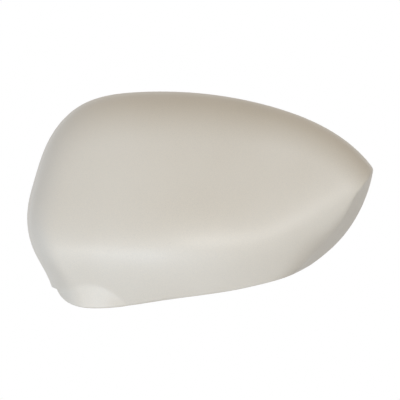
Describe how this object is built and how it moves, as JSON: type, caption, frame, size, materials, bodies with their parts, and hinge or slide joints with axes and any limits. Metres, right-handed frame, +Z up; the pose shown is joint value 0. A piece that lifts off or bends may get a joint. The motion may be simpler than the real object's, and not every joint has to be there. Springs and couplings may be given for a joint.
{
  "type": "wing mirror cover",
  "caption": "Domed plastic cover for the front of a car's wing mirror housing, open at the rear, with locating pegs and snap hooks inside.",
  "frame": {"origin": "on the axis of the main locating peg, at its shoulder", "axes": "+X outboard to the tip, +Y rearward out of the open side along the peg, +Z up"},
  "size_m": [0.2079, 0.0824, 0.1297],
  "materials": {
    "cover": "satin primer, pale warm grey"
  },
  "bodies": {
    "root": {"mirror_cover": "cover"}
  },
  "joints": []
}
